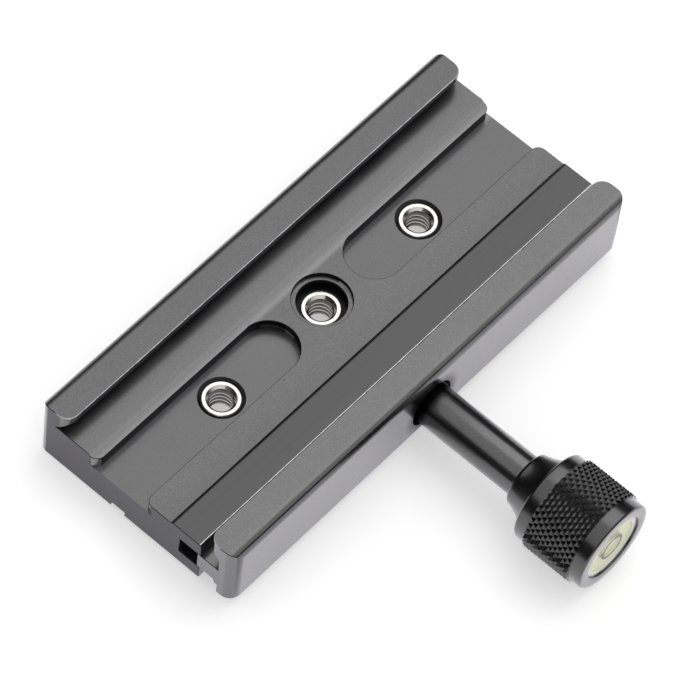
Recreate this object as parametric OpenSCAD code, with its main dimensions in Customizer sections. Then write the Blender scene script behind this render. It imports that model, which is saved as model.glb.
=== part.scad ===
// Dovetail quick-release clamp with a long-stemmed screw knob and a bullseye level.
// The origin is where the clamp screw's axis (Y) crosses the middle bushing's axis (Z).
// X runs along the jaws, the fixed jaw is on the +Y side and the knob on the -Y side.

/* [Body] */
// Length of the body and of both jaws
clamp_len = 120; // [100:1:140]
// From the bushing line to the outer side of the fixed jaw
body_back = 22.1; // [21.5:0.1:24]
// From the bushing line to the outer edge of the lip
body_front = 21.7; // [21.3:0.1:24]
// Height of the screw axis above the base
axis_h = 6.1; // [5.8:0.1:7]
// Height of the plate seats above the screw axis
seat_h = 6; // [5.6:0.1:7]
// Height of the jaws above the plate seats
jaw_h = 4.9; // [4.4:0.1:6]
// Width of the seat beside the fixed jaw
back_seat_w = 8.85; // [7.5:0.05:9.2]
// Width of the seat on the lip
lip_seat_w = 7.8; // [6.6:0.1:8.4]
// Drop from the seats to the relieved middle
relief_d = 0.5; // [0.3:0.1:0.8]
// Chamfer along the lip's outer edge
lip_chamfer = 0.4; // [0.2:0.1:0.8]
// Radius of the body's upright corners
body_corner_r = 2.2; // [1.5:0.1:3]
// Rounding along the outer top edge of each jaw
edge_r = 2.2; // [1:0.1:2.8]

/* [Dovetail] */
// Thickness of the fixed jaw at its top
fixed_jaw_w = 7.6; // [6.8:0.1:8.2]
// How far each 45 degree undercut reaches under its nose
undercut = 3.3; // [2.6:0.1:3.6]
// Plan radius where the fixed jaw's nose meets its ends
fixed_nose_r = 2.8; // [1:0.1:3.5]
// Plan radius where the moving jaw's nose meets its ends
moving_nose_r = 2.8; // [1:0.1:3.5]

/* [Pockets] */
// Width of the two pockets in the seat
pocket_w = 12.9; // [12.2:0.1:14]
// Depth of the pockets below the relieved middle
pocket_d = 3; // [2.5:0.1:3.2]
// Length of the full-height web left between the pockets
pocket_web = 19.2; // [16:0.1:26]
// Plan radius at the mouth of each pocket
mouth_r = 2; // [0.5:0.1:2]
// Width of the groove along the underside
groove_w = 3.7; // [2.5:0.1:5]
// Depth of the groove along the underside
groove_d = 1.2; // [0.5:0.1:1.3]

/* [Bushings] */
// From the middle bushing to each outer one
bushing_pitch = 30.1; // [26:0.1:38]
// Outer diameter of a bushing at its thread's middle
bushing_d = 8.4; // [8:0.1:9]
// Diameter of a bushing's bore at its thread's crests
thread_d = 5.1; // [4.6:0.1:5.6]
// Diameter of the countersunk mouths of a bushing
mouth_d = 6.7; // [6:0.1:7.2]
// How far a bushing lies below the pocket floor
bushing_drop = 0.3; // [0.1:0.1:0.6]
// Diameter of the countersink over each outer bushing
recess_d = 10; // [9.4:0.1:11]
// Diameter of the middle bushing's inner counterbore
step_d = 10.7; // [9.8:0.1:11.2]
// Diameter of the middle bushing's outer counterbore
cup_d = 12.8; // [12:0.1:14]
// Depth of the middle bushing's outer counterbore
cup_depth = 1; // [0.6:0.1:1.6]

/* [Moving jaw] */
// Gap between the lip and the jaw as the clamp stands
jaw_gap = 4.7; // [4:0.1:4.8]
// Thickness of the jaw's wall below its hook
jaw_wall = 4; // [3.4:0.1:5]
// Radius of the jaw's upright corners
jaw_corner_r = 2.8; // [1.5:0.1:3]
// How far the jaw can close from there
close_travel = 3.5; // [2.5:0.1:3.8]
// Depth of the slot under the lip
slot_d = 5.6; // [5.4:0.1:6.2]
// Height of the slot under the lip
slot_h = 4.7; // [4.5:0.1:5]
// Sliding clearance above and below the tongue
tongue_gap = 0.05; // [0.02:0.01:0.08]
// How far the jaw's foot rail drops below the tongue
rail_drop = 1.15; // [0.6:0.05:1.6]

/* [Guides] */
// From each end of the jaws to its guide pin
pin_inset = 14; // [10:0.5:18]
// Diameter of a guide pin
pin_d = 3; // [2:0.1:3.2]
// Length of a guide pin
pin_len = 16; // [15.5:0.1:17]
// How far a guide pin stands out past the lip
pin_reach = 3.4; // [3:0.1:3.6]
// From each end of the jaws to its return spring
spring_inset = 36; // [30:0.5:39]
// Outer diameter of a return spring
spring_d = 3.3; // [2.6:0.1:3.4]
// Thickness of the spring wire
wire_d = 0.45; // [0.3:0.05:0.5]
// Turns of a return spring
spring_turns = 10; // [6:1:12]
// Depth of the spring pockets in the body
spring_pocket = 2.9; // [2:0.1:4]
// Metal left in front of each spring in the jaw
spring_web = 2.4; // [1.5:0.1:2.6]

/* [Screw and stem] */
// Diameter of the clamp screw at its thread's middle
screw_d = 5.35; // [4.6:0.05:5.8]
// How far the clamp screw reaches into the body as the clamp stands
screw_grip = 5.9; // [5:0.1:6.1]
// How far the clamp screw is set into the stem
screw_set = 12; // [8:0.1:16]
// Diameter of the stem
stem_d = 9.56; // [8.8:0.02:10]
// Diameter of the counterbore that takes the stem
seat_bore_d = 11.4; // [10.8:0.1:12]
// Depth of that counterbore
seat_bore_depth = 2; // [1.5:0.1:2.2]
// Thickness of the thrust washer under the stem's shoulder
washer_t = 0.5; // [0.3:0.1:0.8]
// Length of stem between the jaw and the knob
stem_reach = 25.1; // [16:0.1:40]

/* [Knob] */
// Diameter of the knob's hub
hub_d = 12.2; // [10.8:0.1:13]
// Length of the hub and its flare
hub_len = 5.6; // [4:0.1:9]
// Diameter the flare reaches at the collar
flare_d = 16.8; // [14:0.1:18]
// Diameter of the plain collars on both sides of the knurl
collar_d = 20.7; // [19.4:0.1:23]
// Width of the rear collar
rear_collar_w = 3.1; // [1.5:0.1:5]
// Width of the front collar
front_collar_w = 3.1; // [1.5:0.1:5]
// Length of the knurled band
knurl_len = 11.6; // [11:0.1:18]
// Height of the knurl's points
knurl_h = 0.6; // [0.3:0.05:0.9]
// Points around the knob
knurl_count = 42; // [36:1:48]
// Rows of whole points along the knob
knurl_rows = 6; // [4:1:7]

/* [Level] */
// Diameter of the level
level_d = 15.3; // [14:0.1:16]
// Depth of the level's recess in the knob
level_depth = 4.6; // [4.2:0.1:5.2]
// How far the level's face lies below the knob's end
level_inset = 0.4; // [0.1:0.05:0.6]
// Thickness of the level's white back
level_back_t = 1.2; // [0.8:0.1:1.6]
// Wall of the level's clear case
level_wall = 1.2; // [0.8:0.1:1.6]
// Diameter of the bubble
bubble_d = 3; // [2:0.1:3.2]

/* [Hidden] */
$fn = 96;

// Overshoot of cutting tools past the face they enter
past = 1;
// Radial clearance of pieces screwed or pressed home
press_gap = 0.03;
// Radial clearance of pieces that slide or turn
run_gap = 0.04;
// End clearance between faces that meet
face_gap = 0.02;
black = [0.2, 0.2, 0.21];
steel = [0.75, 0.74, 0.72];

// Levels above the screw axis
base_z = -axis_h;
middle_z = seat_h - relief_d;
floor_z = middle_z - pocket_d;
top_z = seat_h + jaw_h;
nose_z = seat_h + undercut;

// Places across the body
nose_y = body_back - fixed_jaw_w;
vee_y = nose_y + undercut;
slot_y = -body_front + slot_d;

// The bushings stand between the groove and the pocket floor
bushing_top = floor_z - bushing_drop;
bushing_bottom = base_z + groove_d + 0.2;
groove_y = 0.35;

// The moving jaw, as the clamp stands
jaw_in_y = -body_front - jaw_gap;
jaw_out_y = jaw_in_y - jaw_wall;
jaw_nose_y = jaw_in_y + undercut;
tongue_tip_y = jaw_in_y + slot_d - 0.1;
tongue_z = slot_h / 2 - tongue_gap;
rail_y = -body_front - close_travel - 0.05;
rail_z = -tongue_z - rail_drop;
screw_way_d = screw_d + 1;

// The pins are pressed into the body and slide in the jaw; the springs push the jaw off
pin_x = clamp_len / 2 - pin_inset;
pin_front = -body_front - pin_reach;
pin_back = pin_front + pin_len;
pin_bore_end = jaw_out_y + 1;
spring_x = clamp_len / 2 - spring_inset;
spring_seat_y = slot_y + spring_pocket;
spring_bore_end = jaw_out_y + spring_web;
spring_bore_d = spring_d + 0.4;

// Stations along the screw, measured from the bushing line towards the knob
bore_s = -jaw_out_y - seat_bore_depth;
stem_s = bore_s + washer_t + face_gap;
hub_s = -jaw_out_y + stem_reach;
collar_s = hub_s + hub_len;
knurl_s = collar_s + rear_collar_w;
front_s = knurl_s + knurl_len;
knob_end_s = front_s + front_collar_w;
level_s = knob_end_s - level_depth;
level_end_s = knob_end_s - level_inset;
head_d = 7;
head_h = 1.6;
lock_washer_t = 0.7;
space_h = level_depth - level_inset - level_back_t - level_wall - face_gap;
head_s = level_s - head_h - 0.1;
web_s = head_s - lock_washer_t;
stem_end_s = web_s - 1.4;
knob_screw_d = 3.5;
knob_screw_len = 9;
screw_tip_s = -slot_y - screw_grip;

// Places a round piece on the screw's line, +Z of the piece towards the knob
module along_screw(s, x = 0) {
    translate([x, -s, 0]) rotate([90, 0, 0]) children();
}

// Extrudes an outline drawn in Y and Z along the jaws
module extrude_x(len) {
    rotate([90, 0, 90]) linear_extrude(len, center = true) children();
}

// Cutter that rounds an upright corner; turn sets which way the material lies
module round_corner(x, y, z, h, r, turn) {
    translate([x, y, z]) rotate([0, 0, turn]) difference() {
        translate([-past, -past, 0]) cube([r + past, r + past, h]);
        translate([r, r, -past]) cylinder(r = r, h = h + 2 * past);
    }
}

// Cutter that rounds a long edge; turn sets which way the material lies
module round_edge(y, z, r, turn) {
    len = clamp_len + 2 * past;
    translate([-len / 2, y, z]) rotate([turn, 0, 0]) rotate([90, 0, 90]) difference() {
        translate([-past, -past, 0]) cube([r + past, r + past, len]);
        translate([r, r, -past]) cylinder(r = r, h = len + 2 * past);
    }
}

// Outline of the body across the jaws: fixed jaw, relieved seat, lip, slot and base plate
module body_outline() {
    polygon([
        [body_back, base_z], [body_back, top_z], [nose_y, top_z], [nose_y, nose_z],
        [vee_y, seat_h],
        [vee_y - back_seat_w, seat_h], [vee_y - back_seat_w - relief_d, middle_z],
        [-body_front + lip_seat_w + relief_d, middle_z], [-body_front + lip_seat_w, seat_h],
        [-body_front + lip_chamfer, seat_h], [-body_front, seat_h - lip_chamfer],
        [-body_front, slot_h / 2], [slot_y, slot_h / 2],
        [slot_y, -slot_h / 2], [-body_front, -slot_h / 2], [-body_front, base_z]
    ]);
}

// One pocket, open at the right end, and the rounding of its mouth
module pocket() {
    start = pocket_web / 2 + pocket_w / 2;
    translate([start, 0, floor_z]) cylinder(d = pocket_w, h = pocket_d + past);
    translate([start, -pocket_w / 2, floor_z])
        cube([clamp_len / 2 - start + past, pocket_w, pocket_d + past]);
    for (side = [-1, 1])
        round_corner(clamp_len / 2, side * pocket_w / 2, floor_z, pocket_d + past, mouth_r,
                     side > 0 ? 90 : 180);
}

// Threaded hole through the body, shown at the middle of its thread
module bushing_hole(x) {
    translate([x, 0, base_z - past]) cylinder(d = bushing_d + 2 * press_gap, h = axis_h + top_z);
}

module clamp_body() {
    lead_d = bushing_d + 2 * press_gap;
    color(black) difference() {
        extrude_x(clamp_len) body_outline();
        for (turn = [0, 180]) rotate([0, 0, turn]) pocket();
        for (side = [-1, 1]) {
            round_corner(side * clamp_len / 2, body_back, base_z - past, axis_h + top_z + 2 * past,
                         body_corner_r, side > 0 ? 180 : 270);
            round_corner(side * clamp_len / 2, nose_y, seat_h, jaw_h + past,
                         fixed_nose_r, side > 0 ? 90 : 0);
        }
        round_edge(body_back, top_z, edge_r, 180);
        translate([-clamp_len / 2 - past, groove_y - groove_w / 2, base_z - past])
            cube([clamp_len + 2 * past, groove_w, groove_d + past]);

        // Bushing holes with their counterbores
        for (x = [-bushing_pitch, 0, bushing_pitch]) bushing_hole(x);
        for (x = [-bushing_pitch, bushing_pitch]) translate([x, 0, bushing_top])
            cylinder(d1 = lead_d, d2 = recess_d, h = bushing_drop + 0.001);
        translate([0, 0, bushing_top]) cylinder(d = step_d, h = seat_h);
        translate([0, 0, middle_z - cup_depth]) cylinder(d = cup_d, h = seat_h);

        // Screw hole: a clear way past the slot, then the thread
        along_screw(-slot_y) cylinder(d = screw_way_d, h = slot_d + past);
        along_screw(-slot_y - screw_grip - close_travel - 0.5)
            cylinder(d = screw_d + 2 * run_gap, h = screw_grip + close_travel + past);

        // Press holes of the guide pins and pockets of the return springs
        for (x = [-pin_x, pin_x])
            along_screw(-pin_back - face_gap, x) cylinder(d = pin_d + 2 * press_gap, h = pin_len);
        for (x = [-spring_x, spring_x])
            along_screw(-spring_seat_y, x) cylinder(d = spring_bore_d, h = slot_d);
    }
}

// Outline of the moving jaw across the jaws: hook, tongue, rail and foot
module jaw_outline() {
    polygon([
        [jaw_out_y, base_z], [jaw_out_y, top_z], [jaw_nose_y, top_z], [jaw_nose_y, nose_z],
        [jaw_in_y, seat_h], [jaw_in_y, tongue_z], [tongue_tip_y, tongue_z],
        [tongue_tip_y, -tongue_z], [rail_y, -tongue_z], [rail_y - 0.4, rail_z],
        [jaw_in_y, rail_z], [jaw_in_y, base_z]
    ]);
}

module moving_jaw() {
    color(black) difference() {
        extrude_x(clamp_len) jaw_outline();
        for (side = [-1, 1]) {
            round_corner(side * clamp_len / 2, jaw_out_y, base_z - past,
                         axis_h + top_z + 2 * past, jaw_corner_r, side > 0 ? 90 : 0);
            round_corner(side * clamp_len / 2, jaw_nose_y, seat_h, jaw_h + past,
                         moving_nose_r, side > 0 ? 180 : 270);
        }
        round_edge(jaw_out_y, top_z, edge_r, 270);

        // Counterbore of the stem, clear way of the screw and the notch it needs in the tongue
        along_screw(bore_s) cylinder(d = seat_bore_d, h = seat_bore_depth + past);
        along_screw(-tongue_tip_y - past)
            cylinder(d = screw_way_d, h = tongue_tip_y - jaw_out_y + past);
        translate([-screw_way_d / 2, jaw_in_y, rail_z - past])
            cube([screw_way_d, slot_d + past, tongue_z - rail_z + 2 * past]);

        // Bores of the guide pins and return springs
        for (x = [-pin_x, pin_x]) along_screw(-tongue_tip_y - past, x)
            cylinder(d = pin_d + 2 * run_gap, h = tongue_tip_y - pin_bore_end + past);
        for (x = [-spring_x, spring_x]) along_screw(-tongue_tip_y - past, x)
            cylinder(d = spring_bore_d, h = tongue_tip_y - spring_bore_end + past);
    }
}

// Bushing with a bore at its thread's crests and a countersunk mouth at each end
module bushing(x) {
    len = bushing_top - bushing_bottom;
    bevel = 0.2;
    mouth = (mouth_d - thread_d) / 2;
    color(steel) translate([x, 0, bushing_bottom]) rotate_extrude() polygon([
        [thread_d / 2, mouth], [mouth_d / 2, 0],
        [bushing_d / 2 - bevel, 0], [bushing_d / 2, bevel],
        [bushing_d / 2, len - bevel], [bushing_d / 2 - bevel, len],
        [mouth_d / 2, len], [thread_d / 2, len - mouth]
    ]);
}
module bushing_left() bushing(-bushing_pitch);
module bushing_middle() bushing(0);
module bushing_right() bushing(bushing_pitch);

module guide_pin(x) {
    bevel = 0.3;
    color(steel) along_screw(-pin_back, x) rotate_extrude() polygon([
        [0, 0], [pin_d / 2 - bevel, 0], [pin_d / 2, bevel],
        [pin_d / 2, pin_len - bevel], [pin_d / 2 - bevel, pin_len], [0, pin_len]
    ]);
}
module guide_pin_left() guide_pin(-pin_x);
module guide_pin_right() guide_pin(pin_x);

// Spring wire swept as rings along a helix between the two seats
module return_spring(x) {
    sides = 6;
    per_turn = 14;
    rings = spring_turns * per_turn;
    coil_r = (spring_d - wire_d) / 2;
    len = spring_seat_y - spring_bore_end - wire_d - 2 * face_gap;
    function at(k, m) =
        let (turn = 360 * k / per_turn, a = 360 * m / sides, r = coil_r + wire_d / 2 * cos(a))
        [r * cos(turn), r * sin(turn), len * k / rings + wire_d / 2 * sin(a)];
    points = [for (k = [0:rings]) for (m = [0:sides - 1]) at(k, m)];
    walls = [for (k = [0:rings - 1]) for (m = [0:sides - 1])
        let (n = (m + 1) % sides, a = k * sides, b = a + sides) [a + m, b + m, b + n, a + n]];
    start = [for (m = [0:sides - 1]) m];
    end = [for (m = [sides - 1:-1:0]) rings * sides + m];
    color(steel) along_screw(-spring_seat_y + wire_d / 2 + face_gap, x)
        polyhedron(points, concat(walls, [start], [end]));
}
module return_spring_left() return_spring(-spring_x);
module return_spring_right() return_spring(spring_x);

// Stud from the body's thread to the stem
module clamp_screw() {
    len = stem_s + screw_set - screw_tip_s;
    bevel = 0.6;
    color(steel) along_screw(screw_tip_s) rotate_extrude() polygon([
        [0, 0], [screw_d / 2 - bevel, 0], [screw_d / 2, bevel],
        [screw_d / 2, len - bevel], [screw_d / 2 - bevel, len], [0, len]
    ]);
}

module thrust_washer() {
    color(steel) along_screw(bore_s + face_gap / 2) difference() {
        cylinder(d = stem_d, h = washer_t);
        translate([0, 0, -past]) cylinder(d = screw_way_d, h = washer_t + 2 * past);
    }
}

module stem() {
    color(black) along_screw(stem_s) difference() {
        cylinder(d = stem_d, h = stem_end_s - stem_s - face_gap);
        translate([0, 0, -past]) cylinder(d = screw_d + 2 * press_gap, h = screw_set + 0.5 + past);
        translate([0, 0, stem_end_s - stem_s - knob_screw_len])
            cylinder(d = knob_screw_d + 2 * press_gap, h = knob_screw_len + past);
    }
}

// Band of diamond knurling: rings of groove crossings, and a point over each diamond
module knurl(r, len) {
    n = knurl_count;
    rings = 2 * knurl_rows;
    step = 360 / n;
    rise = len / rings;
    function spot(a, rad, z) = [rad * cos(a), rad * sin(a), z];
    crossings = [for (j = [0:rings]) for (i = [0:n - 1]) spot((i + (j % 2) / 2) * step, r, j * rise)];
    tips = [for (j = [1:rings - 1]) for (i = [0:n - 1])
        spot((i + 0.5 + (j % 2) / 2) * step, r + knurl_h, j * rise)];
    end_tips = [for (z = [rise * 0.4, len - rise * 0.4]) for (i = [0:n - 1])
        spot((i + 0.5) * step, r + knurl_h * 0.6, z)];
    tip0 = len(crossings);
    end0 = tip0 + len(tips);
    function c(j, i) = j * n + i % n;
    diamonds = [for (j = [1:rings - 1]) for (i = [0:n - 1])
        let (t = tip0 + (j - 1) * n + i, k = i + j % 2)
        for (f = [[c(j + 1, k), c(j, i + 1)], [c(j, i + 1), c(j - 1, k)],
                  [c(j - 1, k), c(j, i)], [c(j, i), c(j + 1, k)]]) [t, f[0], f[1]]];
    near_ends = [for (i = [0:n - 1])
        for (f = [[c(1, i), c(0, i + 1)], [c(0, i + 1), c(0, i)], [c(0, i), c(1, i)]])
            [end0 + i, f[0], f[1]]];
    far_ends = [for (i = [0:n - 1])
        for (f = [[c(rings, i + 1), c(rings - 1, i)], [c(rings - 1, i), c(rings, i)],
                  [c(rings, i), c(rings, i + 1)]]) [end0 + n + i, f[0], f[1]]];
    near_cap = [for (i = [0:n - 1]) i];
    far_cap = [for (i = [n - 1:-1:0]) c(rings, i)];
    polyhedron(concat(crossings, tips, end_tips),
               concat(diamonds, near_ends, far_ends, [near_cap], [far_cap]));
}

// Outline of the knob without its knurl: hub, concave flare, rear collar, core, front collar
module knob_outline() {
    rim = 0.35;
    rear = 0.5;
    hub_edge = 0.4;
    flare_steps = 10;
    flare_len = hub_len - hub_edge;
    function flare_r(t) = (hub_d + (flare_d - hub_d) * (t + t * t) / 2) / 2;
    polygon(concat(
        [[0, hub_s], [hub_d / 2 - hub_edge, hub_s], [hub_d / 2, hub_s + hub_edge]],
        [for (k = [1:flare_steps])
            let (t = k / flare_steps) [flare_r(t), hub_s + hub_edge + flare_len * t]],
        [[collar_d / 2 - rear, collar_s], [collar_d / 2, collar_s + rear],
         [collar_d / 2, knob_end_s - rim], [collar_d / 2 - rim, knob_end_s], [0, knob_end_s]]
    ));
}

module knob() {
    color(black) along_screw(0) difference() {
        union() {
            rotate_extrude() knob_outline();
            translate([0, 0, knurl_s]) knurl(collar_d / 2 + 0.01, knurl_len);
        }
        translate([0, 0, hub_s - past]) cylinder(d = stem_d + 2 * press_gap, h = stem_end_s - hub_s + past);
        translate([0, 0, stem_end_s - past]) cylinder(d = knob_screw_d + 0.5, h = level_s);
        translate([0, 0, web_s - face_gap]) cylinder(d = head_d + 0.6, h = level_s);
        translate([0, 0, level_s])
            cylinder(d = level_d + 2 * press_gap, h = level_depth + past);
    }
}

// Button-head screw that holds the knob on the stem, under the level
module knob_screw() {
    socket_d = 2.9;
    color(steel) along_screw(0) difference() {
        union() {
            translate([0, 0, stem_end_s - knob_screw_len + 0.8])
                cylinder(d = knob_screw_d, h = head_s - stem_end_s + knob_screw_len - 0.8 + 0.1);
            translate([0, 0, head_s]) cylinder(d1 = head_d, d2 = head_d - 1.4, h = head_h);
        }
        translate([0, 0, head_s + head_h - 1]) cylinder(d = socket_d, h = 1 + past, $fn = 6);
    }
}

module knob_screw_washer() {
    color(steel) along_screw(web_s) difference() {
        cylinder(d = head_d, h = lock_washer_t - face_gap);
        translate([0, 0, -past]) cylinder(d = knob_screw_d + 0.4, h = lock_washer_t + 2 * past);
    }
}

// White back of the level
module level_back() {
    color("white") along_screw(level_s + face_gap) cylinder(d = level_d, h = level_back_t);
}

// Space inside the clear case, between the white back and the front wall
module level_space(gap) {
    back_s = level_s + face_gap + level_back_t;
    along_screw(back_s + gap) cylinder(r = level_d / 2 - level_wall - gap, h = space_h - 2 * gap);
}

module level_case() {
    back_s = level_s + face_gap + level_back_t;
    color([0.9, 0.95, 0.9, 0.4]) difference() {
        along_screw(back_s) cylinder(d = level_d, h = level_end_s - back_s);
        level_space(0);
        along_screw(level_s) cylinder(d = level_d - 2 * level_wall, h = level_back_t + 2 * face_gap);
    }
}

// The bubble floats at the top of the space, flattened between its two walls
module bubble(gap) {
    h = space_h - 0.3;
    r = bubble_d / 2 + gap;
    back_s = level_s + face_gap + level_back_t + 0.15 - gap;
    along_screw(back_s) translate([0, level_d / 2 - level_wall - bubble_d / 2 - 0.3, 0])
        rotate_extrude() polygon([
            [0, 0], [r - 0.4, 0], [r, 0.4], [r, h + 2 * gap - 0.4], [r - 0.4, h + 2 * gap],
            [0, h + 2 * gap]
        ]);
}

module level_bubble() color([1, 1, 1, 0.3]) bubble(0);

module level_fluid() {
    color([0.85, 0.9, 0.5, 0.7]) difference() {
        level_space(face_gap);
        bubble(face_gap);
    }
}

clamp_body();
moving_jaw();
bushing_left();
bushing_middle();
bushing_right();
guide_pin_left();
guide_pin_right();
return_spring_left();
return_spring_right();
clamp_screw();
thrust_washer();
stem();
knob();
knob_screw();
knob_screw_washer();
level_back();
level_case();
level_fluid();
level_bubble();
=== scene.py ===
"""Dovetail quick-release clamp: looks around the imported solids, in metres and in their frame."""

import math

import bmesh
import bpy
from mathutils import Matrix, Vector


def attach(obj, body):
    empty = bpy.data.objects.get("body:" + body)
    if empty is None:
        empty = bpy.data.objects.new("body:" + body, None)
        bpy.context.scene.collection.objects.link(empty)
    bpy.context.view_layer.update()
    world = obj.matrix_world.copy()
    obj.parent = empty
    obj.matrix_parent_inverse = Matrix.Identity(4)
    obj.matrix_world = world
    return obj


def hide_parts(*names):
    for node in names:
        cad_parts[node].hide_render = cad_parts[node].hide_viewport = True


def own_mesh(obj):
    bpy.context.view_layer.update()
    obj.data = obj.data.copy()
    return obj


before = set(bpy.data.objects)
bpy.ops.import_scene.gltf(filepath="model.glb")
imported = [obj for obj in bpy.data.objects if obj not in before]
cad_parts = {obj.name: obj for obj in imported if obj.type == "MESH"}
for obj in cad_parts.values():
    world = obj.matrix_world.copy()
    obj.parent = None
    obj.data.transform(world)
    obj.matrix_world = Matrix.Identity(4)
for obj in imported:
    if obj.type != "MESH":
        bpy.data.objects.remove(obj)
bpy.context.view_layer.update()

MM = 0.001
SAME = 0.02                          # measures this near each other are the same, in millimetres
FULL_TURN = 2 * math.pi
FLAT = 0.0001                        # scale that takes one axis out of a pattern

# Turned pieces are drawn upright on +Z in millimetres, then laid on the screw's line.
ON_SCREW_LINE = Matrix.Rotation(math.radians(90), 4, "X")

# Heights on the body above the screw's line, in millimetres
TOP_Z = 10.9
SEAT_Z = 6.0
RELIEF_Z = 5.5
POCKET_Z = 2.5
BUSHING_FOOT_Z = -5.0
BODY_BASE_Z = -6.1

# Lines along the clamp, from the moving jaw to the body's back, in millimetres
MOVING_NOSE_Y = -23.1
LIP_CHAMFER_Y = -21.3
LIP_EDGE_Y = -13.9
POCKET_EDGE_Y = 6.45
FIXED_NOSE_Y = 14.5
BODY_BACK_Y = 22.1
NOSE_DEPTH = 2.9
LEDGE_Y = (5.5, 8.7)

# Bushings and springs along X, and the recesses round the bushings, in millimetres
BUSHINGS = {"left": -30.1, "middle": 0.0, "right": 30.1}
SPRINGS = {"left": -24.0, "right": 24.0}
PIT_R = 6.6
RECESS_FLOOR_R = 5.3

# Roundings along edges, in millimetres
POCKET_ROUNDING = 0.7
LIP_ROUNDING = 0.42
NOSE_LINE = 0.22
LIP_LINE = 0.2
EDGE_ROUNDING = 0.12
OUTWARD_ANGLE = math.radians(50)     # edges sharper than this get the small rounding

# Stations from the bushings' line towards the knob's end, in millimetres
STEM_START_S = 28.92
STEM_END_S = 70.48
HUB_S = 55.5
COLLAR_S = 61.1
KNURL_S = 64.2
FRONT_S = 75.8
KNOB_END_S = 78.9
LEVEL_S = 74.3
LEVEL_FLOOR_S = 78.05
LEVEL_FACE_S = 78.5

# Radii of the stem's, the knob's and the level's forms, in millimetres
STEM_R = 4.78
HUB_R = 6.1
FLARE_R = 8.4
COLLAR_R = 10.35
KNURL_TIP_R = 10.93
KNURL_REST_R = 10.96
RECESS_R = 7.68
LEVEL_R = 7.65
CIRCLE_R = 2.87

# Where the painted shade at the stem's root is darkest and where it ends, along the screw's line
ROOT_SHADE_DARKEST_S = 31.6
ROOT_SHADE_END_S = 33.0

# The painted shade on the jaw round the stem: full out to the first radius, gone by the second,
# from the screw's line
STEM_SHADE_DARKEST_R = 5.6
STEM_SHADE_END_R = 8.2

# Diamond knurl: points around, rows, and how much of a diamond its point takes
KNURL_AROUND = 42
KNURL_ROWS = 6
TIP_SHARE = 0.93

# Camera: bearing, height and roll of the view, its distance, and the point it looks at
CAMERA_BEARING = -55.025
CAMERA_ELEVATION = 57.845
CAMERA_ROLL = 8.0
CAMERA_DISTANCE = 1.12627
PICTURE_MIDDLE = Vector((-0.005283, -0.012261, 0.006))
CAMERA_LENS = 286.61

# Light round the clamp: the sky on it, and what the camera and the metal see added on the ground
SOFT_SKY = 0.64
GROUND_LIFT = 0.43
GROUND_LIFT_IN_METAL = 0.55
BOX_WAY = (0.44, -0.02, 0.9)
BOX_DISTANCE = 1.1
BOX_SIDE = 0.9
BOX_POWER = 2.75

# Dark cards round the clamp: radius, and heights on the knob's side and on the other sides
CARD_R = 1.2
LOW_CARD = 0.5
HIGH_CARD = 0.95

# Places for finishes on the body and on the jaw; the body alone has the last two
MAIN, ROUNDED, END, NOSE, LINE, LAND, DEEP = range(7)


# ---------------------------------------------------------------- finishes

def grey(level, tint=(1, 1, 1)):
    """A grey of one level, with a slight tint."""
    return tuple(level * t for t in tint)


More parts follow.
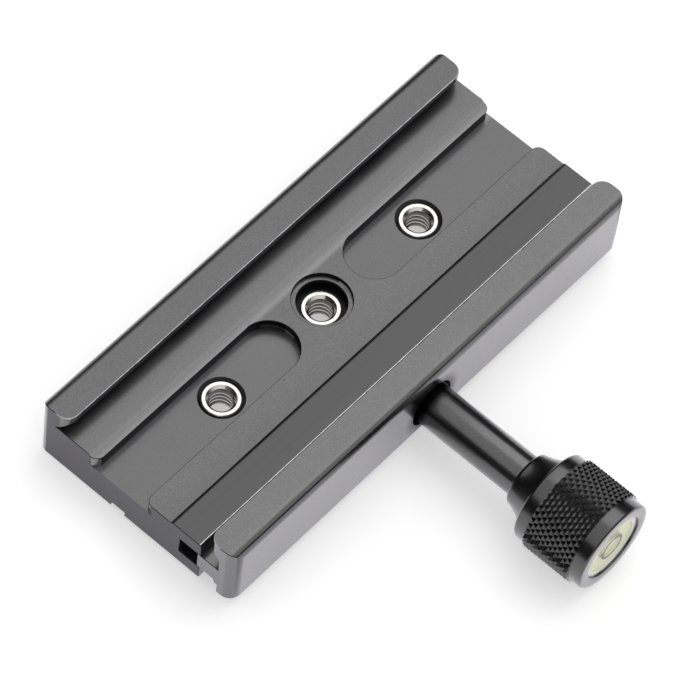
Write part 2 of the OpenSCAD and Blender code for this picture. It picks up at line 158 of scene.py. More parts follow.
class Finish:
    """A material built from nodes on Object coordinates."""

    def __init__(self, name):
        self.material = bpy.data.materials.new(name)
        self.material.use_nodes = True
        self.tree = self.material.node_tree
        self.tree.nodes.clear()
        self.output = self.add("ShaderNodeOutputMaterial")
        self.shader = self.add("ShaderNodeBsdfPrincipled")
        self.join(self.shader.outputs["BSDF"], self.output.inputs["Surface"])
        self.place = self.add("ShaderNodeTexCoord").outputs["Object"]

    def add(self, kind, **values):
        node = self.tree.nodes.new(kind)
        for key, value in values.items():
            setattr(node, key, value)
        return node

    def join(self, start, end):
        self.tree.links.new(start, end)

    def shade(self, **values):
        """Sets the shader's own sockets; Base_Color stands for Base Color."""
        for key, value in values.items():
            self.shader.inputs[key.replace("_", " ")].default_value = value

    def anodised(self, coat, sheen):
        """Dark metal under the clear skin that anodising leaves."""
        self.shade(Metallic=1.0, Specular_Tint=(0.95, 0.92, 1.0, 1), Coat_Weight=coat,
                   Coat_Roughness=sheen, Coat_IOR=1.6)

    def stretched(self, scale, centre=(0, 0, 0)):
        """Object coordinates about a centre, scaled along each axis."""
        mapping = self.add("ShaderNodeMapping", vector_type="TEXTURE")
        mapping.inputs["Location"].default_value = centre
        mapping.inputs["Scale"].default_value = [1 / s for s in scale]
        self.join(self.place, mapping.inputs["Vector"])
        return mapping.outputs["Vector"]

    def along_y(self):
        """The place along the screw's line."""
        axes = self.add("ShaderNodeSeparateXYZ")
        self.join(self.place, axes.inputs["Vector"])
        return axes.outputs["Y"]

    def reach(self, vector):
        """A vector's length."""
        length = self.add("ShaderNodeVectorMath", operation="LENGTH")
        self.join(vector, length.inputs[0])
        return length.outputs["Value"]

    def noise(self, scale, detail=2.0, roughness=0.5, vector=None):
        node = self.add("ShaderNodeTexNoise")
        node.inputs["Scale"].default_value = scale
        node.inputs["Detail"].default_value = detail
        node.inputs["Roughness"].default_value = roughness
        self.join(vector or self.place, node.inputs["Vector"])
        return node.outputs["Fac"]

    def ramp(self, value, stops):
        """Colours along a value, as (position, colour) pairs."""
        node = self.add("ShaderNodeValToRGB")
        elements = node.color_ramp.elements
        while len(elements) < len(stops):
            elements.new(0.5)
        for element, (position, colour) in zip(elements, stops):
            element.position = position
            element.color = (*colour, 1)
        self.join(value, node.inputs["Fac"])
        return node.outputs["Color"]

    def span(self, value, start, end, low=0.0, high=1.0):
        """A value from start to end, laid over low to high."""
        node = self.add("ShaderNodeMapRange")
        node.inputs["From Min"].default_value = start
        node.inputs["From Max"].default_value = end
        node.inputs["To Min"].default_value = low
        node.inputs["To Max"].default_value = high
        self.join(value, node.inputs["Value"])
        return node.outputs["Result"]

    def blend(self, kind, first, second):
        """Mixes two colours in full."""
        node = self.add("ShaderNodeMix", data_type="RGBA", blend_type=kind)
        node.inputs["Factor"].default_value = 1.0
        self.join(first, node.inputs["A"])
        self.join(second, node.inputs["B"])
        return node.outputs["Result"]

    def shaded_down(self, colour, way, coat):
        """Paints shade: takes the colour and the coat down where the way is 0, and leaves them
        where it is 1.
        """
        left_coat, left_colour = 0.1, 0.12
        self.join(self.ramp(way, [(0.0, grey(coat * left_coat)), (1.0, grey(coat))]),
                  self.shader.inputs["Coat Weight"])
        return self.blend("MULTIPLY", colour,
                          self.ramp(way, [(0.0, grey(left_colour)), (1.0, grey(1))]))

    def colour(self, value):
        self.join(value, self.shader.inputs["Base Color"])

    def rough(self, pattern, low, high):
        """Roughness from low to high over a noise, which lies mostly between 0.3 and 0.7."""
        self.join(self.span(pattern, 0.3, 0.7, low, high), self.shader.inputs["Roughness"])

    def relief(self, *layers):
        """Bump from (height, strength, distance in metres) layers, one on the other."""
        normal = None
        for height, strength, distance in layers:
            bump = self.add("ShaderNodeBump")
            bump.inputs["Strength"].default_value = strength
            bump.inputs["Distance"].default_value = distance
            self.join(height, bump.inputs["Height"])
            if normal is not None:
                self.join(normal, bump.inputs["Normal"])
            normal = bump.outputs["Normal"]
        self.join(normal, self.shader.inputs["Normal"])


COOL = (1.0, 0.99, 1.02)
WARM = (1.0, 0.965, 0.92)

# Painted highlight added along the body's ledge, from the pockets' edge to the seat, brightest by
# the pockets' rounded edge
LEDGE_PAINTED_HIGHLIGHT = [(0.0, grey(0)), (0.3, grey(0.09)), (0.7, grey(0.04)), (1.0, grey(0))]


def blasted_black(name, level=0.085, roughness=(0.36, 0.44), coat=1.0, sheen=0.26,
                  ledge=False, shade_round_stem=False):
    """Bead-blasted, black anodised aluminium: a fine even grain over faint drawing lines; it can
    add a painted highlight along the ledge and a painted shade round the stem.
    """
    f = Finish(name)
    f.anodised(coat, sheen)
    grains = f.noise(5200, detail=3, roughness=0.6)
    cloud = f.noise(90, detail=3)
    drawn = f.noise(1, detail=2, vector=f.stretched((25, 2600, 2600)))
    colour = f.ramp(grains, [(0.3, grey(level * 0.72, COOL)), (0.5, grey(level, COOL)),
                             (0.72, grey(level * 1.5, COOL))])
    patches = f.ramp(cloud, [(0.25, grey(0.86)), (0.75, grey(1.12))])
    colour = f.blend("MULTIPLY", colour, patches)
    # Painted highlight along the ledge, added to the colour.
    if ledge:
        way = f.span(f.along_y(), *(y * MM for y in LEDGE_Y))
        colour = f.blend("ADD", colour, f.ramp(way, LEDGE_PAINTED_HIGHLIGHT))
    # Painted shade on the jaw round the stem, where it goes in.
    if shade_round_stem:
        away = f.reach(f.stretched((1, FLAT, 1)))
        colour = f.shaded_down(colour, f.span(away, STEM_SHADE_DARKEST_R * MM, STEM_SHADE_END_R * MM), coat)
    f.colour(colour)
    f.rough(cloud, *roughness)
    f.relief((drawn, 0.12, 0.00001), (grains, 0.3, 0.000016))
    return f.material


def milled_black(name):
    """Black anodised over a finely milled face: smoother, with lines along X."""
    f = Finish(name)
    f.anodised(coat=0.75, sheen=0.2)
    level = 0.035
    lines = f.noise(1, detail=3, roughness=0.6, vector=f.stretched((12, 5200, 5200)))
    cloud = f.noise(45, detail=2)
    colour = f.ramp(lines, [(0.3, grey(level * 0.9, COOL)), (0.7, grey(level * 1.12, COOL))])
    patches = f.ramp(cloud, [(0.2, grey(0.9)), (0.8, grey(1.1))])
    f.colour(f.blend("MULTIPLY", colour, patches))
    f.rough(cloud, 0.34, 0.4)
    f.relief((lines, 0.04, 0.000003))
    return f.material


def painted_edge_line(name, level, coat):
    """Edge roundings in a painted line: a low level paints a dark line of shade, a high level a
    painted highlight over anodising rubbed thin by handling.
    """
    f = Finish(name)
    f.shade(Metallic=1.0, Coat_Weight=coat, Coat_Roughness=0.2)
    rub = f.noise(700, detail=3)
    f.colour(f.ramp(rub, [(0.3, grey(level * 0.5, COOL)), (0.7, grey(level, COOL))]))
    f.rough(rub, 0.24, 0.36)
    f.relief((rub, 0.08, 0.00001))
    return f.material


def turned_black(name, level, roughness=(0.28, 0.36), shaded_root=False):
    """Black anodised, turned on a lathe: fine rings round the screw's line, and a painted shade at
    the stem's root if asked.
    """
    f = Finish(name)
    coat = 1.0
    f.anodised(coat, sheen=0.2)
    rings = f.noise(1, detail=2, vector=f.stretched((40, 5200, 40)))
    grains = f.noise(5600, detail=2)
    colour = f.ramp(grains, [(0.3, grey(level * 0.75, COOL)), (0.7, grey(level * 1.3, COOL))])
    # Painted shade at the stem's root, where it goes into the jaw.
    if shaded_root:
        way = f.span(f.along_y(), -ROOT_SHADE_DARKEST_S * MM, -ROOT_SHADE_END_S * MM)
        colour = f.shaded_down(colour, way, coat)
    f.colour(colour)
    f.rough(rings, *roughness)
    f.relief((rings, 0.1, 0.000008), (grains, 0.2, 0.000014))
    return f.material


def turned_steel(name, level=0.7, centre=(0, 0, 0), upright=True):
    """Turned stainless steel with rings about the piece's own line, upright or the screw's."""
    f = Finish(name)
    f.shade(Metallic=1.0)
    around = f.stretched((1, 1, FLAT) if upright else (1, FLAT, 1), centre=centre)
    spread = f.add("ShaderNodeCombineXYZ")
    f.join(f.reach(around), spread.inputs["X"])
    rings = f.noise(9000, detail=2, vector=spread.outputs["Vector"])
    cloud = f.noise(420, detail=3)
    f.colour(f.ramp(cloud, [(0.3, grey(level * 0.82, WARM)), (0.7, grey(level, WARM))]))
    f.rough(cloud, 0.16, 0.3)
    f.relief((rings, 0.12, 0.00001))
    return f.material


def drawn_wire(name):
    """Bare spring wire with a little drawing scale."""
    f = Finish(name)
    f.shade(Metallic=1.0)
    scale = f.noise(1500, detail=3)
    f.colour(f.ramp(scale, [(0.3, grey(0.42)), (0.7, grey(0.62))]))
    f.rough(scale, 0.25, 0.4)
    f.relief((scale, 0.1, 0.00001))
    return f.material


def moulded(name, low, high):
    """Moulded plastic with a faint mottle."""
    f = Finish(name)
    f.shade(Coat_Weight=0.3, Coat_Roughness=0.1)
    mottle = f.noise(500, detail=3)
    f.colour(f.ramp(mottle, [(0.3, low), (0.7, high)]))
    f.rough(mottle, 0.3, 0.42)
    f.relief((mottle, 0.06, 0.00001))
    return f.material


def clear(name, low, high, cover, coat):
    """Clear plastic, liquid or air: a thin cover of colour with a gloss on it."""
    f = Finish(name)
    f.shade(Alpha=cover, IOR=1.4, Coat_Weight=coat, Coat_Roughness=0.05)
    swirl = f.noise(160, detail=2)
    f.colour(f.ramp(swirl, [(0.3, low), (0.7, high)]))
    f.rough(swirl, 0.02, 0.06)
    return f.material


def plain_ground(name):
    """Pale ground that goes white where nothing shades it."""
    f = Finish(name)
    f.shade(Roughness=0.9, Specular_IOR_Level=0.1)
    paper = f.noise(40, detail=2)
    f.colour(f.ramp(paper, [(0.3, grey(0.86)), (0.7, grey(0.88))]))
    path = f.add("ShaderNodeLightPath")
    surface = f.shader.outputs["BSDF"]
    for ray, strength in (("Is Camera Ray", GROUND_LIFT), ("Is Glossy Ray", GROUND_LIFT_IN_METAL)):
        dark = f.add("ShaderNodeEmission")
        dark.inputs["Strength"].default_value = 0.0
        lift = f.add("ShaderNodeEmission")
        lift.inputs["Strength"].default_value = strength
        mixed = f.add("ShaderNodeMixShader")
        f.join(path.outputs[ray], mixed.inputs["Fac"])
        f.join(dark.outputs["Emission"], mixed.inputs[1])
        f.join(lift.outputs["Emission"], mixed.inputs[2])
        both = f.add("ShaderNodeAddShader")
        f.join(surface, both.inputs[0])
        f.join(mixed.outputs["Shader"], both.inputs[1])
        surface = both.outputs["Shader"]
    f.join(surface, f.output.inputs["Surface"])
    return f.material


def dark_card(name):
    """Dull black card that only the metal sees."""
    f = Finish(name)
    f.shade(Roughness=0.9, Specular_IOR_Level=0.1)
    fleck = f.noise(60, detail=2)
    f.colour(f.ramp(fleck, [(0.3, grey(0.012)), (0.7, grey(0.02))]))
    return f.material


# ---------------------------------------------------------------- making pieces

def close_to(value, target):
    """Whether two measures in millimetres are the same."""
    return abs(value - target) < SAME


def turned_by(degrees, axis="Z"):
    return Matrix.Rotation(math.radians(degrees), 3, axis)


def to_place(bm, line=Matrix.Identity(4)):
    """Lays a piece drawn in millimetres on its line, in metres."""
    bmesh.ops.transform(bm, matrix=Matrix.Scale(MM, 4) @ line, verts=bm.verts)


def as_object(name, bm, finishes):
    """A bmesh as an object with its finishes, in the scene."""
    mesh = bpy.data.meshes.new(name)
    bm.to_mesh(mesh)
    bm.free()
    for finish in finishes:
        mesh.materials.append(finish)
    made = bpy.data.objects.new(name, mesh)
    bpy.context.scene.collection.objects.link(made)
    return made


def piece(name, bm, finishes, body, stands_for=(), crease=34):
    """Makes the object, rides it on its body and hides the solids it stands for."""
    made = as_object(name, bm, finishes)
    made.data.shade_smooth()
    made.data.set_sharp_from_angle(angle=math.radians(crease))
    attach(made, body)
    if stands_for:
        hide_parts(*stands_for)
    return made


def closed(bm):
    """Merges doubles and turns the faces outwards."""
    bmesh.ops.remove_doubles(bm, verts=bm.verts, dist=1e-5)
    bmesh.ops.recalc_face_normals(bm, faces=bm.faces)
    return bm


def revolved(outline, steps=128, ring=False):
    """Revolves (height, radius) pairs about +Z; a ring's outline is closed on itself."""
    bm = bmesh.new()
    points = [bm.verts.new((radius, 0, height)) for height, radius in outline]
    pairs = list(zip(points, points[1:]))
    if ring:
        pairs.append((points[-1], points[0]))
    for start, end in pairs:
        bm.edges.new((start, end))
    bmesh.ops.spin(bm, geom=bm.verts[:] + bm.edges[:], cent=(0, 0, 0), axis=(0, 0, 1),
                   angle=FULL_TURN, steps=steps, use_merge=True)
    return closed(bm)


def round_rims(bm, rims):
    """Rounds circular rims given as (height, radius, size)."""
    for height, radius, size in rims:
        edges = [e for e in bm.edges
                 if all(close_to(v.co.z, height) and close_to(math.hypot(v.co.x, v.co.y), radius)
                        for v in e.verts)]
        bmesh.ops.bevel(bm, geom=edges, offset=size, offset_type="OFFSET", segments=3,
                        profile=0.5, affect="EDGES", material=-1)


def merged_solid(node):
    """A merged copy of a solid's mesh, with flat faces joined up."""
    bm = bmesh.new()
    bm.from_mesh(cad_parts[node].data)
    bmesh.ops.remove_doubles(bm, verts=bm.verts, dist=1e-6)
    bmesh.ops.dissolve_limit(bm, angle_limit=math.radians(0.5), verts=bm.verts[:],
                             edges=bm.edges[:])
    for face in bm.faces:
        face.material_index = MAIN
    return bm


def round_where(bm, wanted, width, finish=-1):
    """Rounds the edges whose two ends are both wanted, given in millimetres."""
    edges = [e for e in bm.edges if len(e.link_faces) == 2 and e.calc_face_angle() > 0.3
             and all(wanted(v.co / MM) for v in e.verts)]
    bmesh.ops.bevel(bm, geom=edges, offset=width * MM, offset_type="OFFSET",
                    segments=4 if finish < 0 else 3, profile=0.5, affect="EDGES",
                    material=finish, clamp_overlap=True)


def mark_outward_edges(bm):
    """Marks the sharp outward edges, which get a small rounding."""
    weight = bm.edges.layers.float.new("bevel_weight_edge")
    for edge in bm.edges:
        if (len(edge.link_faces) == 2 and edge.is_convex
                and edge.calc_face_angle() > OUTWARD_ANGLE):
            edge[weight] = 1.0


def round_marked_edges(made):
    """Rounds the marked edges in the rounded-edge slot, which holds a painted dark line of shade,
    and keeps flat faces flat in shade.
    """
    rounding = made.modifiers.new("edge_rounding", "BEVEL")
    rounding.width = EDGE_ROUNDING * MM
    rounding.segments = 2
    rounding.limit_method = "WEIGHT"
    rounding.material = ROUNDED
    rounding.use_clamp_overlap = False
    flattened = made.modifiers.new("flat_faces", "WEIGHTED_NORMAL")
    flattened.mode = "FACE_AREA"
    flattened.weight = 100
    flattened.keep_sharp = True


def thread_ridge(root, crest, pitch, turns, start, steps=40):
    """A helical ridge from root to crest radius, which runs out over a quarter turn at each end."""
    half_root, half_crest, least = pitch * 0.4, pitch * 0.14, 0.04
    bm = bmesh.new()
    section = [(root, -half_root), (crest, -half_crest), (crest, half_crest), (root, half_root)]
    face = bm.faces.new([bm.verts.new((radius, 0, start + height)) for radius, height in section])
    count = round(steps * turns)
    bmesh.ops.spin(bm, geom=face.verts[:] + face.edges[:] + [face], cent=(0, 0, 0),
                   axis=(0, 0, 1), dvec=(0, 0, pitch * turns / count),
                   angle=FULL_TURN * turns, steps=count)
    for vert in bm.verts:
        radius = math.hypot(vert.co.x, vert.co.y)
        if not close_to(radius, crest):
            continue
        turn = (vert.co.z - start) / pitch
        share = max(least, min(1, turn * 4, (turns - turn) * 4))
        grow = (root + (crest - root) * share) / radius
        vert.co.x *= grow
        vert.co.y *= grow
    bmesh.ops.recalc_face_normals(bm, faces=bm.faces)
    return bm


def joined(whole, part):
    """Adds one bmesh to another."""
    mesh = bpy.data.meshes.new("part")
    part.to_mesh(mesh)
    part.free()
    whole.from_mesh(mesh)
    bpy.data.meshes.remove(mesh)
    return whole


# ---------------------------------------------------------------- body, jaw and springs

def make_body():
    """The body: its solid, merged, with roundings and a finish for each kind of face."""
    bm = merged_solid("clamp_body")
    for face in bm.faces:
        middle = face.calc_center_median() / MM
        near = min(math.hypot(middle.x - x, middle.y) for x in BUSHINGS.values())
        upright = abs(face.normal.z) < 0.3
        if face.normal.z > 0.99 and close_to(middle.z, SEAT_Z) and middle.y < LIP_EDGE_Y:
            face.material_index = LAND
        # Walls and floors deep in the recesses round the bushings take the near-black pit finish, a
        # painted shade.
        elif near < PIT_R and upright and middle.z < RELIEF_Z:
            face.material_index = DEEP
        elif near < RECESS_FLOOR_R and BUSHING_FOOT_Z < middle.z < POCKET_Z - 0.1:
            face.material_index = DEEP
        # The body's end faces take a darker copy of the black, a painted shade.
        elif abs(face.normal.x) > 0.99:
            face.material_index = END
        # The fixed nose's face takes a near-black copy of the black, a painted shade.
        elif face.normal.y < -0.99 and close_to(middle.y, FIXED_NOSE_Y):
            face.material_index = NOSE
        # The pockets' walls take the same painted shade.
        elif upright and POCKET_Z < middle.z < RELIEF_Z and abs(middle.y) < POCKET_EDGE_Y + 0.1:
            face.material_index = DEEP
    round_where(bm, lambda v: close_to(v.y, POCKET_EDGE_Y) and close_to(v.z, RELIEF_Z),
                POCKET_ROUNDING)
    round_where(bm, lambda v: close_to(v.y, LIP_EDGE_Y) and close_to(v.z, SEAT_Z), LIP_ROUNDING)
    # The lip's chamfer and the nose's top edge are rounded in the bright line, a painted highlight.
    round_where(bm, lambda v: close_to(v.y, LIP_CHAMFER_Y) and close_to(v.z, SEAT_Z),
                LIP_LINE, LINE)
    round_where(bm, lambda v: close_to(v.z, TOP_Z) and v.y < FIXED_NOSE_Y + NOSE_DEPTH,
                NOSE_LINE, LINE)
    mark_outward_edges(bm)
    finishes = [BODY_BLACK, EDGE, END_PAINTED_SHADE, NOSE_PAINTED_SHADE, BRIGHT_EDGE, MILLED, PIT_PAINTED_SHADE]
    round_marked_edges(piece("body", bm, finishes, "clamp", ["clamp_body"]))


def make_jaw():
    """The moving jaw, made as the body is."""
    bm = merged_solid("moving_jaw")
    for face in bm.faces:
        # The jaw's end faces take a lighter copy of the black, a painted light.
        if abs(face.normal.x) > 0.99:
            face.material_index = END
        # The jaw's nose face takes the same near-black copy, a painted shade.
        elif face.normal.y > 0.99 and close_to(face.calc_center_median().y / MM, MOVING_NOSE_Y):
            face.material_index = NOSE
    # The jaw's nose top edge is rounded in the bright line, a painted highlight.
    round_where(bm, lambda v: close_to(v.z, TOP_Z) and v.y > MOVING_NOSE_Y - NOSE_DEPTH,
                NOSE_LINE, LINE)
    mark_outward_edges(bm)
    finishes = [BLASTED, EDGE, JAW_END_PAINTED_LIGHT, NOSE_PAINTED_SHADE, BRIGHT_EDGE]
    round_marked_edges(piece("jaw", bm, finishes, "jaw", ["moving_jaw"]))


def make_spring(side, x):
    """Coiled return-spring wire, drawn at one length; the real spring shortens when the jaw closes.
    """
    start, end, wire_r, coil_r, turns, per_turn = 13.25, 27.95, 0.225, 1.42, 10, 24
    bm = bmesh.new()
    bmesh.ops.create_circle(bm, cap_ends=True, radius=wire_r, segments=8)
    bmesh.ops.rotate(bm, cent=(0, 0, 0), matrix=turned_by(90, "X"), verts=bm.verts)
    bmesh.ops.translate(bm, vec=(coil_r, 0, start + wire_r), verts=bm.verts)
    steps = turns * per_turn
    bmesh.ops.spin(bm, geom=bm.verts[:] + bm.edges[:] + bm.faces[:], cent=(0, 0, 0),
                   axis=(0, 0, 1), dvec=(0, 0, (end - start - 2 * wire_r) / steps),
                   angle=FULL_TURN * turns, steps=steps)
    bmesh.ops.recalc_face_normals(bm, faces=bm.faces)
    to_place(bm, Matrix.Translation((x, 0, 0)) @ ON_SCREW_LINE)
    made = piece("spring_" + side, bm, [WIRE], "clamp", ["return_spring_" + side])
    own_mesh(made)


# ---------------------------------------------------------------- bushings

def make_bushing(side, x):
    """A threaded bushing: shell with a countersunk mouth at each end, and its thread's ridge."""
    top, bottom, outer_r, bevel = 2.2, -4.7, 4.2, 0.2
    mouth_r, neck_r, root_r, crest_r = 3.3, 2.68, 3.1, 2.55
    mouth_depth, step, overlap = 0.62, 0.08, 0.06
    pitch, turns, thread_start = 1.27, 4.1, 0.85
    shell = revolved([
        (top, mouth_r), (top, outer_r - bevel), (top - bevel, outer_r), (bottom + bevel, outer_r),
        (bottom, outer_r - bevel), (bottom, mouth_r), (bottom + mouth_depth, neck_r),
        (bottom + mouth_depth + step, root_r), (top - mouth_depth - step, root_r),
        (top - mouth_depth, neck_r)
    ], steps=96, ring=True)
    # The thread's roots, and below, the ridge's upward-facing flanks, take darker steel: a painted
    # shade.
    for face in shell.faces:
        middle = face.calc_center_median()
        if abs(math.hypot(middle.x, middle.y) - root_r) < 0.1 and abs(face.normal.z) < 0.5:
            face.material_index = 1
    ridge = thread_ridge(root_r + overlap, crest_r, pitch, turns, bottom + thread_start)
    ridge.normal_update()
    for face in ridge.faces:
        if face.normal.z > 0.3:
            face.material_index = 1
    bm = joined(shell, ridge)
    to_place(bm, Matrix.Translation((x, 0, 0)))
    steel = turned_steel("stainless_" + side, centre=(x * MM, 0, 0))
    piece("bushing_steel_" + side, bm, [steel, THREAD_ROOT_PAINTED_SHADE], "clamp",
          ["bushing_" + side])


# ---------------------------------------------------------------- stem, screw and knob

def make_stem():
    """The stem, with a bore for the clamp screw and one for the knob's screw."""
    stud_end, stud_r, screw_end, screw_r = 41.0, 2.72, 62.2, 2.0
    bm = revolved([(stud_end, 0), (stud_end, stud_r), (STEM_START_S, stud_r),
                   (STEM_START_S, STEM_R), (STEM_END_S, STEM_R), (STEM_END_S, screw_r),
                   (screw_end, screw_r), (screw_end, 0)])
    round_rims(bm, [(STEM_START_S, STEM_R, 0.25), (STEM_END_S, STEM_R, 0.3)])
    to_place(bm, ON_SCREW_LINE)
    piece("stem_turned", bm, [TURNED], "knob", ["stem"])


def make_clamp_screw():
    """Fully threaded stud from the body to the stem."""
    start, end, core_r, tip_r, tip_length = 10.2, 40.92, 2.42, 2.0, 0.45
    root_r, crest_r, pitch, turns, thread_start = 2.38, 2.67, 1.0, 29, 0.9
    core = revolved([(start, 0), (start, tip_r), (start + tip_length, core_r), (end, core_r),
                     (end, 0)], steps=64)
    bm = joined(core, thread_ridge(root_r, crest_r, pitch, turns, start + thread_start, steps=28))
    to_place(bm, ON_SCREW_LINE)
    piece("clamp_stud", bm, [STUD], "knob", ["clamp_screw"])


def knurl_band():
    """Rows of cut diamonds round the knob, squared off at both ends."""
    band_depth, overshoot, weld = 0.6, 0.01, 0.03
    bm = bmesh.new()
    step = FULL_TURN / KNURL_AROUND
    rise = (FRONT_S - KNURL_S) / KNURL_ROWS / 2
    half_wide = COLLAR_R * step / 2
    inscribed = half_wide * rise / math.hypot(half_wide, rise)
    for row in range(2 * KNURL_ROWS + 1):
        corners = [(0, -rise), (half_wide, 0), (0, rise), (-half_wide, 0)]
        face = bm.faces.new([bm.verts.new((COLLAR_R, across, KNURL_S + row * rise + along))
                             for across, along in corners])
        turn = Matrix.Rotation(step * (0.5 if row % 2 else 0), 3, "Z")
        bmesh.ops.rotate(bm, cent=(0, 0, 0), matrix=turn, verts=face.verts)
    bm.normal_update()
    for face in bm.faces:
        middle = face.calc_center_median()
        if face.normal.dot(Vector((middle.x, middle.y, 0))) < 0:
            face.normal_flip()
    bmesh.ops.inset_individual(bm, faces=bm.faces[:], thickness=inscribed * TIP_SHARE,
                               depth=KNURL_TIP_R - COLLAR_R + overshoot, use_even_offset=True)
    bmesh.ops.spin(bm, geom=bm.verts[:] + bm.edges[:] + bm.faces[:], cent=(0, 0, 0),
                   axis=(0, 0, 1), angle=FULL_TURN - step, steps=KNURL_AROUND - 1,
                   use_duplicate=True)
    bmesh.ops.remove_doubles(bm, verts=bm.verts, dist=weld)
    for height, out in ((KNURL_S, -1), (FRONT_S, 1)):
        bmesh.ops.bisect_plane(bm, geom=bm.verts[:] + bm.edges[:] + bm.faces[:],
                               plane_co=(0, 0, height), plane_no=(0, 0, out), clear_outer=True)
        rim = [e for e in bm.edges if e.is_boundary
               and all(close_to(v.co.z, height) for v in e.verts)]
        grown = bmesh.ops.extrude_edge_only(bm, edges=rim)["geom"]
        for vert in (g for g in grown if isinstance(g, bmesh.types.BMVert)):
            shrink = (COLLAR_R - band_depth) / math.hypot(vert.co.x, vert.co.y)
            vert.co.x *= shrink
            vert.co.y *= shrink
    bmesh.ops.bridge_loops(bm, edges=[e for e in bm.edges if e.is_boundary])
    return closed(bm)


def make_knob():
    """Hub, flare and collars turned in one, with the knurled band on them."""
    hub_edge, collar_edge, face_edge, under_knurl, play = 0.4, 0.5, 0.35, 0.3, 0.04
    washer_floor, washer_r, screw_floor, screw_r, stem_stop = 72.6, 3.8, 71.9, 2, 70.5
    flare_start, flare_steps = HUB_S + hub_edge, 14
    flare = []
    for k in range(flare_steps + 1):
        t = k / flare_steps
        flare.append((flare_start + (COLLAR_S - flare_start) * t,
                      HUB_R + (FLARE_R - HUB_R) * (t + t * t) / 2))
    bm = revolved([
        (HUB_S, STEM_R + play), (HUB_S, HUB_R - hub_edge), *flare,
        (COLLAR_S, COLLAR_R - collar_edge), (COLLAR_S + collar_edge, COLLAR_R),
        (KNURL_S, COLLAR_R), (KNURL_S, COLLAR_R - under_knurl), (FRONT_S, COLLAR_R - under_knurl),
        (FRONT_S, COLLAR_R), (KNOB_END_S - face_edge, COLLAR_R),
        (KNOB_END_S, COLLAR_R - face_edge), (KNOB_END_S, RECESS_R), (LEVEL_S, RECESS_R),
        (LEVEL_S, washer_r), (washer_floor, washer_r), (screw_floor, screw_r),
        (stem_stop, screw_r), (stem_stop, STEM_R + play)
    ], steps=144, ring=True)
    round_rims(bm, [(HUB_S, HUB_R - hub_edge, 0.15), (COLLAR_S, COLLAR_R - collar_edge, 0.2),
                    (COLLAR_S + collar_edge, COLLAR_R, 0.2),
                    (KNOB_END_S - face_edge, COLLAR_R, 0.12),
                    (KNOB_END_S, COLLAR_R - face_edge, 0.12), (KNOB_END_S, RECESS_R, 0.1)])
    to_place(bm, ON_SCREW_LINE)
    piece("knob_turned", bm, [KNOB_BLACK], "knob", ["knob"])
    band = knurl_band()
    to_place(band, ON_SCREW_LINE)
    piece("knob_knurl", band, [KNURL_BLACK], "knob", crease=12)


# ---------------------------------------------------------------- level

def shadeless(made):
    """A clear piece takes no light from what lies under it."""
    made.visible_shadow = made.visible_diffuse = False


def make_level():
    """White cup with a tinted floor, liquid, clear lens, printed circle and bubble."""
    cup_top = LEVEL_FACE_S - 0.1
    space_r = 6.45
    gap = 0.02

    cup = revolved([
        (LEVEL_S + gap, 0), (LEVEL_S + gap, LEVEL_R), (cup_top, LEVEL_R), (cup_top, space_r),
        (LEVEL_FLOOR_S, space_r), (LEVEL_FLOOR_S, 0)
    ])
    for face in cup.faces:
        if abs(face.calc_center_median().z - LEVEL_FLOOR_S) < 0.01:
            face.material_index = 1
    round_rims(cup, [(cup_top, LEVEL_R, 0.1), (cup_top, space_r, 0.1)])
    to_place(cup, ON_SCREW_LINE)
    piece("level_cup", cup, [WHITE, TINTED], "knob", ["level_back"])

    lens_r = LEVEL_R - gap
    lens = revolved([(cup_top + 0.01, 0), (cup_top + 0.01, lens_r), (LEVEL_FACE_S, lens_r),
                     (LEVEL_FACE_S, 0)])
    round_rims(lens, [(LEVEL_FACE_S, lens_r, 0.06)])
    to_place(lens, ON_SCREW_LINE)
    shadeless(piece("level_lens", lens, [CLEAR], "knob", ["level_case"]))

    liquid_bottom, liquid_r = LEVEL_FLOOR_S + 0.03, space_r - 0.03
    liquid = revolved([(liquid_bottom, 0), (liquid_bottom, liquid_r), (cup_top - gap, liquid_r),
                       (cup_top - gap, 0)])
    to_place(liquid, ON_SCREW_LINE)
    shadeless(piece("level_liquid", liquid, [LIQUID], "knob", ["level_fluid"]))

    half_line, slope, ink_bottom, ink_top = 0.3, 0.02, LEVEL_FACE_S - 0.01, LEVEL_FACE_S + 0.02
    circle = revolved([
        (ink_bottom, CIRCLE_R - half_line - slope), (ink_bottom, CIRCLE_R + half_line + slope),
        (ink_top, CIRCLE_R + half_line), (ink_top, CIRCLE_R - half_line)
    ], ring=True)
    to_place(circle, ON_SCREW_LINE)
    piece("level_circle", circle, [INK], "knob")

    bubble_r, flatness, rise, depth = 1.5, 0.09, 4.65, 0.17
    bubble = bmesh.new()
    bmesh.ops.create_uvsphere(bubble, u_segments=40, v_segments=20, radius=bubble_r)
    bmesh.ops.scale(bubble, vec=(1, 1, flatness), verts=bubble.verts)
    bmesh.ops.translate(bubble, vec=(0, rise, LEVEL_FLOOR_S + depth), verts=bubble.verts)
    to_place(bubble, ON_SCREW_LINE)
    shadeless(piece("level_air", bubble, [AIR], "knob", ["level_bubble"]))


# ---------------------------------------------------------------- floor, light and camera

def make_floor():
    """The clamp lies on the knob's knurl and the body's back edge, so the floor leans that way."""
    half_side, clearance = 6, 0.0002
    lean = math.atan2(BODY_BASE_Z + KNURL_REST_R, BODY_BACK_Y + KNURL_S)
    bm = bmesh.new()
    bmesh.ops.create_grid(bm, x_segments=8, y_segments=8, size=half_side)
    bmesh.ops.rotate(bm, cent=(0, 0, 0), matrix=Matrix.Rotation(lean, 3, "X"), verts=bm.verts)
    bmesh.ops.translate(bm, vec=(0, BODY_BACK_Y * MM, BODY_BASE_Z * MM - clearance),
                        verts=bm.verts)
    as_object("floor", bm, [plain_ground("pale_ground")])


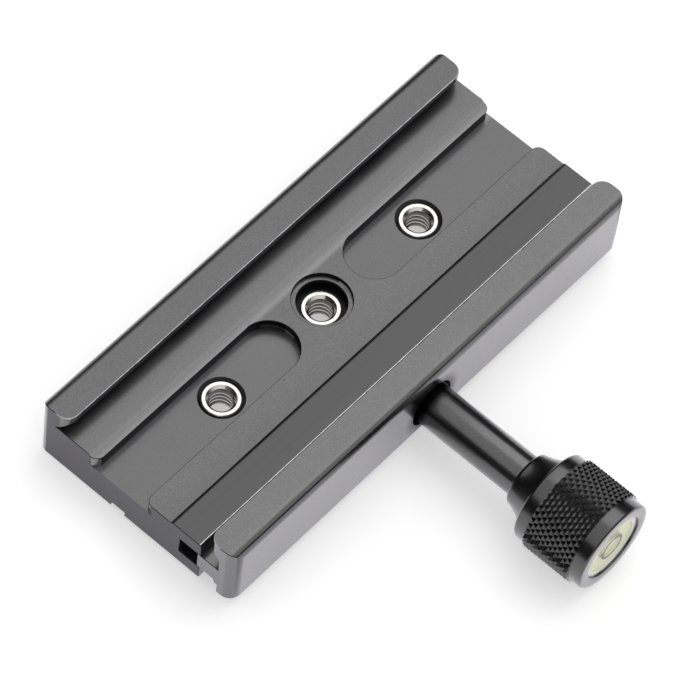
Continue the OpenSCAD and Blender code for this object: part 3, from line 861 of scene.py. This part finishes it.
def make_card(name, first, last, height):
    """An upright dark card from one bearing to another, in degrees, for the metal alone."""
    bm = bmesh.new()
    bottom = bm.verts.new((CARD_R, 0, 0))
    top = bm.verts.new((CARD_R, 0, height))
    edge = bm.edges.new((bottom, top))
    bmesh.ops.rotate(bm, cent=(0, 0, 0), matrix=turned_by(first), verts=bm.verts)
    bmesh.ops.spin(bm, geom=[bottom, top, edge], cent=(0, 0, 0), axis=(0, 0, 1),
                   angle=math.radians(last - first), steps=round((last - first) / 4))
    card = as_object(name, bm, [CARD])
    card.visible_camera = card.visible_diffuse = False
    card.visible_shadow = card.visible_transmission = False


def make_sky():
    """Soft white surroundings; what the camera, metal and glass see of them is plain white."""
    world = bpy.data.worlds.new("surroundings")
    bpy.context.scene.world = world
    world.use_nodes = True
    nodes, links = world.node_tree.nodes, world.node_tree.links
    nodes.clear()
    path = nodes.new("ShaderNodeLightPath")
    seen = path.outputs["Is Camera Ray"]
    for ray in ("Is Glossy Ray", "Is Transmission Ray"):
        either = nodes.new("ShaderNodeMath")
        either.operation = "MAXIMUM"
        links.new(seen, either.inputs[0])
        links.new(path.outputs[ray], either.inputs[1])
        seen = either.outputs[0]
    mix = nodes.new("ShaderNodeMixShader")
    links.new(seen, mix.inputs["Fac"])
    for place, strength in ((1, SOFT_SKY), (2, 1.0)):
        light = nodes.new("ShaderNodeBackground")
        light.inputs["Color"].default_value = (1, 1, 1, 1)
        light.inputs["Strength"].default_value = strength
        links.new(light.outputs[0], mix.inputs[place])
    output = nodes.new("ShaderNodeOutputWorld")
    links.new(mix.outputs[0], output.inputs["Surface"])


def make_lamp():
    """One square soft box, facing the clamp."""
    light = bpy.data.lights.new("soft_box", "AREA")
    light.shape = "RECTANGLE"
    light.size = light.size_y = BOX_SIDE
    light.energy = BOX_POWER
    lamp = bpy.data.objects.new("soft_box", light)
    way = Vector(BOX_WAY).normalized()
    lamp.location = way * BOX_DISTANCE
    lamp.rotation_mode = "QUATERNION"
    lamp.rotation_quaternion = way.to_track_quat("Z", "Y")
    bpy.context.scene.collection.objects.link(lamp)


def make_camera():
    """The camera at the photograph's angle, a long lens from about a metre."""
    data = bpy.data.cameras.new("camera")
    data.lens = CAMERA_LENS
    data.sensor_width = 36
    data.clip_start, data.clip_end = 0.05, 50
    camera = bpy.data.objects.new("camera", data)
    bearing, height = math.radians(CAMERA_BEARING), math.radians(CAMERA_ELEVATION)
    back = Vector((math.sin(bearing) * math.cos(height), -math.cos(bearing) * math.cos(height),
                   math.sin(height)))
    camera.location = PICTURE_MIDDLE + back * CAMERA_DISTANCE
    camera.rotation_mode = "QUATERNION"
    roll = Matrix.Rotation(math.radians(CAMERA_ROLL), 4, "Z")
    camera.rotation_quaternion = (
        (-back).to_track_quat("-Z", "Y").to_matrix().to_4x4() @ roll).to_quaternion()
    bpy.context.scene.collection.objects.link(camera)
    bpy.context.scene.camera = camera


# ---------------------------------------------------------------- the clamp

# The jaw's black, with a painted shade round the stem.
BLASTED = blasted_black("blasted_black", level=0.068, roughness=(0.26, 0.32), sheen=0.14,
                        shade_round_stem=True)
# The body's black, with a painted highlight along its ledge.
BODY_BLACK = blasted_black("body_black", level=0.078, ledge=True)
# Near-black, nearly uncoated copy of the black: painted shade in the recesses round the bushings
# and on the pockets' walls.
PIT_PAINTED_SHADE = blasted_black("pit_painted_shade", level=0.008, roughness=(0.5, 0.6), coat=0.15)
# Darker copy on the body's end faces: a painted shade.
END_PAINTED_SHADE = blasted_black("body_end_painted_shade", level=0.03, coat=0.4)
# Lighter copy on the jaw's end faces: a painted light.
JAW_END_PAINTED_LIGHT = blasted_black("jaw_end_painted_light", level=0.11)
# Near-black copy on the noses' faces: a painted shade.
NOSE_PAINTED_SHADE = blasted_black("nose_painted_shade", level=0.015, coat=0.15)
# Bright edge line: a painted highlight over anodising rubbed thin.
BRIGHT_EDGE = painted_edge_line("bright_edge_painted_highlight", level=0.5, coat=0.4)
MILLED = milled_black("milled_black")
# Dark edge line on the small roundings: a painted shade.
EDGE = painted_edge_line("dark_edge_painted_shade", level=0.025, coat=0.2)
# The stem's black, with a painted shade at its root.
TURNED = turned_black("turned_black", level=0.07, shaded_root=True)
KNOB_BLACK = turned_black("knob_black", level=0.042)
KNURL_BLACK = turned_black("knurl_black", level=0.04, roughness=(0.18, 0.26))
STUD = turned_steel("stud_steel", upright=False)
PIN = turned_steel("pin_steel", upright=False)
# Darker steel painted as shade into the bushings' thread roots and upward flanks.
THREAD_ROOT_PAINTED_SHADE = turned_steel("thread_root_painted_shade", level=0.12)
WIRE = drawn_wire("spring_wire")
WHITE = moulded("white_plastic", grey(0.9), grey(0.95))
TINTED = moulded("tinted_floor", (0.9, 0.93, 0.56), (0.94, 0.96, 0.6))
INK = moulded("ink", grey(0.004), grey(0.008))
CLEAR = clear("clear_plastic", (0.9, 0.9, 0.91), (0.95, 0.95, 0.95), cover=0.03, coat=1.0)
LIQUID = clear("level_liquid", (0.8, 0.84, 0.45), (0.86, 0.9, 0.5), cover=0.03, coat=0.0)
AIR = clear("air", grey(0.98), grey(1.0), cover=0.06, coat=0.4)
CARD = dark_card("dark_card")

bpy.context.scene.view_settings.view_transform = "Standard"
make_camera()
make_body()
make_jaw()
for side, x in BUSHINGS.items():
    make_bushing(side, x)
for side, x in SPRINGS.items():
    make_spring(side, x)
make_stem()
make_clamp_screw()
make_knob()
make_level()

# Solids whose shape is right as it is keep it, and get a finish.
for node, finish in (("guide_pin_left", PIN), ("guide_pin_right", PIN),
                     ("thrust_washer", STUD), ("knob_screw", STUD), ("knob_screw_washer", STUD)):
    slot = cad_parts[node].material_slots[0]
    slot.link = "OBJECT"
    slot.material = finish

make_floor()
make_sky()
make_card("low_card", -160, -20, LOW_CARD)
make_card("high_card", -20, 200, HIGH_CARD)
make_lamp()
